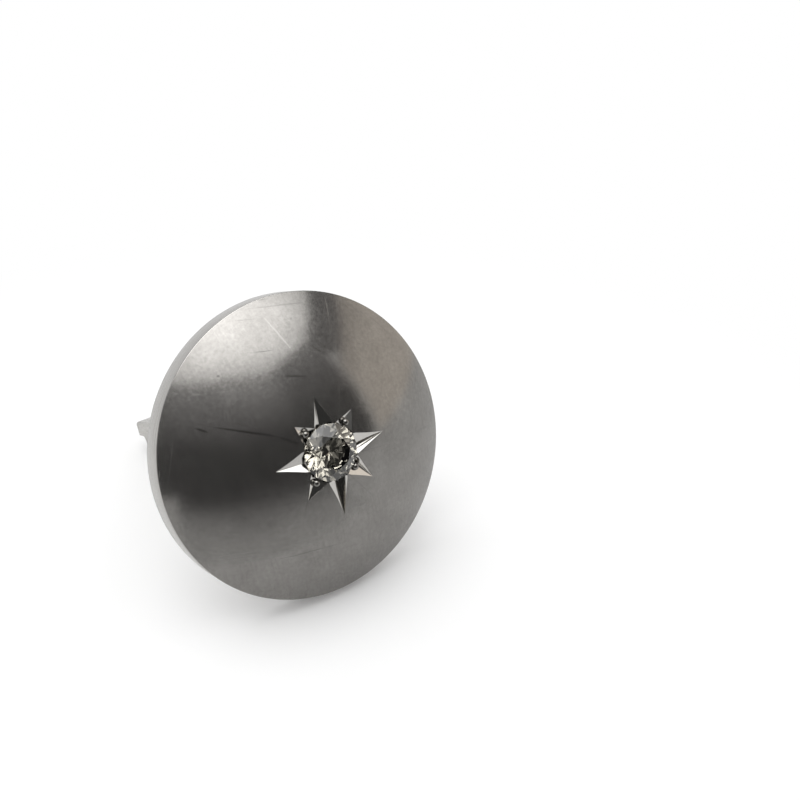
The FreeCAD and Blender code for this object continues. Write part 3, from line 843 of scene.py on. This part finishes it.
# White metal as it was rolled and papered: lines of 0.1 mm run along the leaf, under smears of 1.7 mm
leaf, tree, face = new_material("stamped_white_metal_sheet")
smear = add(tree, "TexNoise", {"Vector": face, "Scale": 0.6, "Detail": 6.0, "Roughness": 0.65})
stroke = add(tree, "Mapping", {"Vector": face, "Scale": (11.0, 11.0, 0.35)})
line = add(tree, "TexNoise", {"Vector": stroke.outputs[0], "Scale": 1.0, "Detail": 4.0, "Roughness": 0.7})
colour = add(
    tree, "Mix",
    {"Factor": smear.outputs["Fac"], "A": linear("#a19f9b"), "B": linear("#c0beba")}, data_type="RGBA",
)
rough = add(
    tree, "MapRange",
    {"Value": line.outputs["Fac"], "From Min": 0.3, "From Max": 0.7, "To Min": 0.2, "To Max": 0.36},
)
relief = add(tree, "Bump", {"Height": line.outputs["Fac"], "Strength": 0.3, "Distance": 0.02 * MM})
shader = add(
    tree, "BsdfPrincipled",
    {
        "Base Color": colour.outputs[2], "Metallic": 1.0, "Roughness": rough.outputs[0],
        "Normal": relief.outputs[0],
    },
)
add(tree, "OutputMaterial", {"Surface": shader.outputs[0]})
for name, side, top in (("left", -1, LEFT_TOP), ("right", 1, RIGHT_TOP)):
    # a block as long as the leaf and as deep as its flange slopes up from the toe to the heel
    edge_in = -side * WING_INNER
    edge_out = side * WING_OUTER
    wing = block(
        (min(edge_in, edge_out), TOE_DROP, -WING_LENGTH), (max(edge_in, edge_out), top, WING_INNER)
    )
    pick("VERT", lambda v: v.co.y < TOE_DROP + NEAR and v.co.z > 0)
    bpy.ops.transform.translate(value=(0, HEEL_DROP - TOE_DROP, 0))
    bpy.ops.object.mode_set(mode="OBJECT")
    # behind the toe the flange is cut back to a narrow strip
    notch = block((-THROUGH, -THROUGH, -WING_LENGTH - THROUGH), (THROUGH, top - TIP_DEPTH, -TOE_REACH))
    pick("EDGE", lambda e: along(e, 0) and middle(e).y > TOE_DROP and middle(e).z > -TOE_REACH - NEAR)
    bpy.ops.mesh.bevel(offset=NOTCH_ROUND, segments=8)
    bpy.ops.object.mode_set(mode="OBJECT")
    carve(wing, notch)
    bpy.ops.object.mode_set(mode="EDIT")
    pick("EDGE", lambda e: along(e, 0) and middle(e).y < (HEEL_DROP + TOE_DROP) / 2)
    bpy.ops.mesh.bevel(offset=TOE_ROUND, segments=14)
    pick("EDGE", lambda e: along(e, 0) and middle(e).y < 0 and middle(e).z > WING_INNER - NEAR)
    bpy.ops.mesh.bevel(offset=HEEL_ROUND, segments=6)
    # the bend is round, and so are the leaf's inner corners
    pick("EDGE", lambda e: along(e, 2) and middle(e).y > top - NEAR and abs(middle(e).x - edge_out) < NEAR)
    bpy.ops.mesh.bevel(offset=BEND_OUTSIDE, segments=8)
    pick("EDGE", lambda e: along(e, 1) and abs(middle(e).x - edge_in) < NEAR and middle(e).z < -TOE_REACH)
    bpy.ops.mesh.bevel(offset=TIP_ROUND, segments=8)
    pick("EDGE", lambda e: along(e, 1) and abs(middle(e).x - edge_in) < NEAR and middle(e).z > 0)
    bpy.ops.mesh.bevel(offset=WING_INNER * FULL_ROUND, segments=16)
    bpy.ops.object.mode_set(mode="OBJECT")
    # what lies inside the bend is taken away, which leaves the sheet
    wall_in = edge_out - side * WING_WALL
    beyond = -side * THROUGH
    hollow = block(
        (min(beyond, wall_in), -THROUGH, -WING_LENGTH - THROUGH),
        (max(beyond, wall_in), top - WING_WALL, THROUGH),
    )
    pick("EDGE", lambda e: along(e, 2) and middle(e).y > TOE_DROP and abs(middle(e).x - wall_in) < NEAR)
    bpy.ops.mesh.bevel(offset=BEND_INSIDE, segments=4)
    bpy.ops.object.mode_set(mode="OBJECT")
    carve(wing, hollow)
    bore = start(
        bpy.ops.mesh.primitive_cylinder_add,
        vertices=48, radius=RIVET_RADIUS + WING_FIT, depth=THROUGH, rotation=(math.pi / 2, 0, 0),
    )
    bpy.ops.object.mode_set(mode="OBJECT")
    carve(wing, bore)
    break_edges(wing, WING_EDGE, 2)
    wing.data.materials.append(leaf)
    settle(wing, "leaf_" + name, AT_PIVOT @ Matrix.Rotation(-side * WING_SPLAY, 4, "Y"))
    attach(wing, name + "_wing")
    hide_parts("wing_" + name)

# Floor
# A sheet of white paper that the cufflink stands on. Near the cufflink it takes real light and shadow,
# and further off it is plain white to the eye and to what mirrors it.
FLOOR_SIZE = 6.0
FLOOR_LIT = 0.012
FLOOR_WHITE = 0.05


def add_seen(tree):
    """1 for rays from the eye, from a reflection or through the stone, and 0 for the light itself."""
    path = add(tree, "LightPath")
    seen = add(
        tree, "Math",
        {0: path.outputs["Is Camera Ray"], 1: path.outputs["Is Glossy Ray"]}, operation="MAXIMUM",
    )
    return add(
        tree, "Math", {0: seen.outputs[0], 1: path.outputs["Is Transmission Ray"]}, operation="MAXIMUM"
    ).outputs[0]


bpy.ops.object.select_all(action="DESELECT")
bpy.ops.mesh.primitive_plane_add(size=FLOOR_SIZE)
floor = bpy.context.object
floor.name = "paper"
paper = bpy.data.materials.new("white_paper")
paper.use_nodes = True
tree = paper.node_tree
tree.nodes.clear()
place = add(tree, "TexCoord")
reach = add(tree, "VectorMath", {0: place.outputs["Object"]}, operation="LENGTH")
far = add(
    tree, "MapRange",
    {"Value": reach.outputs["Value"], "From Min": FLOOR_LIT, "From Max": FLOOR_WHITE},
    interpolation_type="SMOOTHSTEP",
)
white = add(tree, "Math", {0: far.outputs[0], 1: add_seen(tree)}, operation="MULTIPLY")
sheet = add(tree, "BsdfDiffuse", {"Color": linear("#ffffff")})
plain = add(tree, "Emission", {"Color": linear("#ffffff"), "Strength": 1.0})
surface = add(tree, "MixShader", {0: white.outputs[0], 1: sheet.outputs[0], 2: plain.outputs[0]})
add(tree, "OutputMaterial", {"Surface": surface.outputs[0]})
floor.data.materials.append(paper)

# Studio light
# White surroundings and one large soft box from the left and behind. Cards that only reflections see give
# the metal its depth: a bright one over the front, a folding dark screen, a grey ceiling, a warm card at the
# right and a dark card before the cufflink: painted shade for the floor's shadow and dark reflection there.
WORLD_FILL = 0.8
BOX_RADIANCE = 1.2
BOX_SIZE = 1.2
BOX_AT = Vector((-0.3, 0.15, 1.3))
scene = bpy.context.scene
world = bpy.data.worlds.new("studio")
scene.world = world
world.use_nodes = True
tree = world.node_tree
tree.nodes.clear()
level = add(tree, "MapRange", {"Value": add_seen(tree), "To Min": WORLD_FILL, "To Max": 1.0})
sky = add(tree, "Background", {"Color": linear("#ffffff"), "Strength": level.outputs[0]})
add(tree, "OutputWorld", {"Surface": sky.outputs[0]})
light = bpy.data.lights.new("soft_box", "AREA")
light.size = BOX_SIZE
# the radiance of an area lamp is a quarter of its watts for each square metre
light.energy = BOX_RADIANCE * 4 * BOX_SIZE**2
lamp = bpy.data.objects.new("soft_box", light)
lamp.location = BOX_AT
lamp.rotation_euler = (-BOX_AT).to_track_quat("-Z", "Y").to_euler()
lamp.visible_camera = False
lamp.visible_glossy = False
scene.collection.objects.link(lamp)


def card(name, at, tilt, sizes, pattern, low, high, colour="#ffffff"):
    """A card that only reflections see. It brightens from its foot or, if round, towards its middle."""
    bpy.ops.object.select_all(action="DESELECT")
    bpy.ops.mesh.primitive_plane_add(size=2, location=at, rotation=tilt)
    sheet = bpy.context.object
    sheet.name = name
    sheet.scale = (sizes[0] / 2, sizes[1] / 2, 1)
    sheet.visible_camera = False
    sheet.visible_diffuse = False
    sheet.visible_shadow = False
    felt = bpy.data.materials.new(name + "_felt")
    felt.use_nodes = True
    tree = felt.node_tree
    tree.nodes.clear()
    place = add(tree, "TexCoord").outputs["Object"]
    ramp = add(tree, "TexGradient", {"Vector": place}, gradient_type=pattern)
    shade = add(tree, "MapRange", {"Value": ramp.outputs["Fac"], "To Min": low, "To Max": high})
    glow = add(tree, "Emission", {"Color": linear(colour), "Strength": shade.outputs[0]})
    add(tree, "OutputMaterial", {"Surface": glow.outputs[0]})
    sheet.data.materials.append(felt)


def facing(azimuth):
    """Tilt of a card that stands with its own x upwards and faces the cufflink from an azimuth."""
    return (math.pi / 2, -math.pi / 2, math.radians(azimuth + 90))


# the bright card hangs level, with three of its corners rounded by a share of half its sides
CARD_AT = (-0.03, -0.12, 0.8)
CARD_TILT = (0, 0, math.radians(-15))
CARD_SIZES = (1.26, 1.0)
LEFT_ROUND = 0.9
RIGHT_ROUND = 0.5
card("bright_card", CARD_AT, CARD_TILT, CARD_SIZES, "SPHERICAL", 2.05, 5.4)
bpy.ops.object.mode_set(mode="EDIT")
pick("VERT", lambda v: v.co.x < 0 and v.co.y < 0)
bpy.ops.mesh.bevel(offset=LEFT_ROUND, segments=12, affect="VERTICES")
pick("VERT", lambda v: v.co.x > 1 - NEAR and abs(v.co.y) > 1 - NEAR)
bpy.ops.mesh.bevel(offset=RIGHT_ROUND, segments=8, affect="VERTICES")
bpy.ops.object.mode_set(mode="OBJECT")
# the screen stands in three leaves before the cufflink, each dark to half its height and brighter above it
SCREEN_FAR = 0.66
SCREEN_TOP = 0.84
SCREEN_DARK = 0.27
SCREEN_LOW = 0.05
SCREEN_SIZES = (2 * (SCREEN_TOP - SCREEN_DARK), 0.43)
CEILING = 0.19
for name, azimuth, high in (("right", -59, 0.4), ("middle", -95, 0.85), ("left", -131, 0.7)):
    way = math.radians(azimuth)
    at = (SCREEN_FAR * math.cos(way), SCREEN_FAR * math.sin(way), SCREEN_DARK)
    card("dark_screen_" + name, at, facing(azimuth), SCREEN_SIZES, "LINEAR", SCREEN_LOW, high)
card("grey_ceiling", (-0.1, 0.4, SCREEN_TOP), (0, 0, 0), (3.1, 2.12), "LINEAR", CEILING, CEILING)
card("warm_card", (0.96, -0.26, 0.375), facing(0), (0.75, 1.0), "LINEAR", 1.25, 0.8, "#fff6ec")
# a dark card, painted shade for the shadow and dark reflection on the floor before the cufflink, rises from
# the floor, narrow at its near end, and darkens on the way
FLOOR_SHADE_AT = (-0.0181, -0.0766, 0.0053)
FLOOR_SHADE_TILT = (0, math.radians(4.8), math.radians(75))
FLOOR_SHADE_SIZES = (0.12, 0.17)
FLOOR_SHADE_NECK = 0.15
card("floor_shade_card", FLOOR_SHADE_AT, FLOOR_SHADE_TILT, FLOOR_SHADE_SIZES, "QUADRATIC", 0.1, 0.9)
bpy.ops.object.mode_set(mode="EDIT")
pick("VERT", lambda v: v.co.x > 0)
bpy.ops.transform.resize(value=(1, FLOOR_SHADE_NECK, 1), orient_type="LOCAL")
bpy.ops.object.mode_set(mode="OBJECT")

# Camera
# It stands a little to the left and looks down on the face, as in the photograph.
CAMERA_AT = (-0.02116, -0.04714, 0.03857)
CAMERA_WAY = Vector((0.4964, 0.6984, -0.5156))
camera = bpy.data.cameras.new("camera")
camera.lens = 41.03
camera.sensor_width = 36.0
camera.clip_start = MM
viewer = bpy.data.objects.new("camera", camera)
viewer.location = CAMERA_AT
viewer.rotation_euler = CAMERA_WAY.to_track_quat("-Z", "Y").to_euler()
scene.collection.objects.link(viewer)
scene.camera = viewer
scene.view_settings.view_transform = "Standard"
